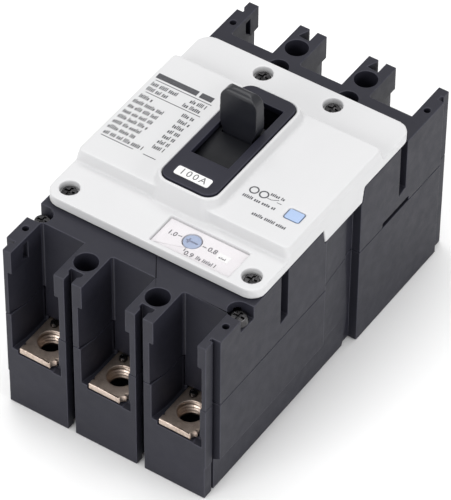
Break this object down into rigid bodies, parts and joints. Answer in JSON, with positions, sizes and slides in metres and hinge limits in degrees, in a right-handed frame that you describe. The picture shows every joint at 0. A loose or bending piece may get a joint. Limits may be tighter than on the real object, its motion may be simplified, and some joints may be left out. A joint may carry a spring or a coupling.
{
  "type": "moulded case circuit breaker",
  "caption": "Moulded-case circuit breaker with toggle handle, open terminal pockets at both ends, trip button and current-setting dial under a window.",
  "frame": {"origin": "centre of the flat mounting face, on the face", "axes": "+X across the poles, +Y from the load end to the line end, +Z out of the mounting face towards the handle"},
  "size_m": [0.075, 0.13, 0.0905],
  "materials": {
    "case_black": "fine moulded texture",
    "bezel_black": "satin",
    "cover_white": "satin",
    "label_white": "smooth",
    "control_blue": "satin",
    "window_clear": "clear",
    "plated_copper": "tin plated",
    "copper": "bare",
    "steel": "zinc plated",
    "screw_steel": "blackened",
    "insulator": "moulded"
  },
  "bodies": {
    "case": {"base_housing": "case_black", "cover_housing": "case_black", "handle_bezel": "bezel_black", "front_cover": "cover_white", "rating_label": "label_white", "setting_plate": "label_white", "dial_window": "window_clear", "mechanism_plate_right": "steel", "mechanism_plate_left": "steel", "trip_button_spring": "steel", "line_terminal_1": "plated_copper", "load_terminal_1": "plated_copper", "flexible_link_1": "copper", "bimetal_1": "steel", "magnet_yoke_1": "steel", "arc_chute_1": "insulator", "line_terminal_2": "plated_copper", "load_terminal_2": "plated_copper", "flexible_link_2": "copper", "bimetal_2": "steel", "magnet_yoke_2": "steel", "arc_chute_2": "insulator", "line_terminal_3": "plated_copper", "load_terminal_3": "plated_copper", "flexible_link_3": "copper", "bimetal_3": "steel", "magnet_yoke_3": "steel", "arc_chute_3": "insulator", "load_terminal_screw_1": "screw_steel", "line_terminal_screw_1": "screw_steel", "load_terminal_screw_2": "screw_steel", "line_terminal_screw_2": "screw_steel", "load_terminal_screw_3": "screw_steel", "line_terminal_screw_3": "screw_steel", "case_screw_1": "screw_steel", "cover_screw_1": "screw_steel", "case_screw_2": "screw_steel", "cover_screw_2": "screw_steel", "case_screw_3": "screw_steel", "cover_screw_3": "screw_steel", "case_screw_4": "screw_steel", "cover_screw_4": "screw_steel"},
    "handle": {"handle": "case_black", "handle_shutter": "bezel_black", "handle_yoke": "steel", "main_spring_right": "steel", "main_spring_left": "steel"},
    "contacts": {"contact_shaft": "insulator", "toggle_link": "steel", "moving_contact_1": "copper", "moving_contact_2": "copper", "moving_contact_3": "copper"},
    "cradle": {"cradle_lever": "steel"},
    "trip_bar": {"trip_bar": "insulator"},
    "trip_button": {"trip_button": "control_blue"},
    "adjust_dial": {"adjust_dial": "control_blue"},
    "armature_1": {"armature_1": "steel"},
    "armature_2": {"armature_2": "steel"},
    "armature_3": {"armature_3": "steel"}
  },
  "joints": [
    {"name": "handle_turn", "type": "hinge", "parent": "case", "child": "handle", "pos_m": [0, 0.0044, 0.033], "axis": [-1, 0, 0], "range_deg": [-18.2, 11.3]},
    {"name": "contact_turn", "type": "hinge", "parent": "case", "child": "contacts", "pos_m": [0, -0.005, 0.03], "axis": [-1, 0, 0], "range_deg": [-22, 13.7]},
    {"name": "cradle_turn", "type": "hinge", "parent": "case", "child": "cradle", "pos_m": [0, 0.017, 0.054], "axis": [-1, 0, 0], "range_deg": [-4.6, 2.9]},
    {"name": "trip_button_press", "type": "slide", "parent": "case", "child": "trip_button", "axis": [0, 0, -1], "range_m": [0, 0.0016], "stiffness_N_per_m": 400, "springref_m": -0.002, "deforming": ["trip_button_spring"]},
    {"name": "trip_bar_turn", "type": "hinge", "parent": "case", "child": "trip_bar", "pos_m": [0, -0.024, 0.046], "axis": [-1, 0, 0], "range_deg": [0, 8.1]},
    {"name": "dial_turn", "type": "hinge", "parent": "case", "child": "adjust_dial", "pos_m": [0.0096, -0.0337, 0.0659], "axis": [0, 0, 1], "range_deg": [0, 180]},
    {"name": "armature_1_turn", "type": "hinge", "parent": "case", "child": "armature_1", "pos_m": [-0.025, -0.0306, 0.0266], "axis": [1, 0, 0], "range_deg": [0, 6], "stiffness_Nm_per_rad": 0.02, "springref_deg": -5.73},
    {"name": "armature_2_turn", "type": "hinge", "parent": "case", "child": "armature_2", "pos_m": [0, -0.0306, 0.0266], "axis": [1, 0, 0], "range_deg": [0, 6], "stiffness_Nm_per_rad": 0.02, "springref_deg": -5.73},
    {"name": "armature_3_turn", "type": "hinge", "parent": "case", "child": "armature_3", "pos_m": [0.025, -0.0306, 0.0266], "axis": [1, 0, 0], "range_deg": [0, 6], "stiffness_Nm_per_rad": 0.02, "springref_deg": -5.73}
  ],
  "couplings": [
    {"joint": "contact_turn", "follows": "handle_turn", "ratio": 1.2},
    {"joint": "cradle_turn", "follows": "handle_turn", "ratio": 0.25},
    {"joint": "trip_bar_turn", "follows": "trip_button_press", "rad_per_m": 87.7}
  ]
}
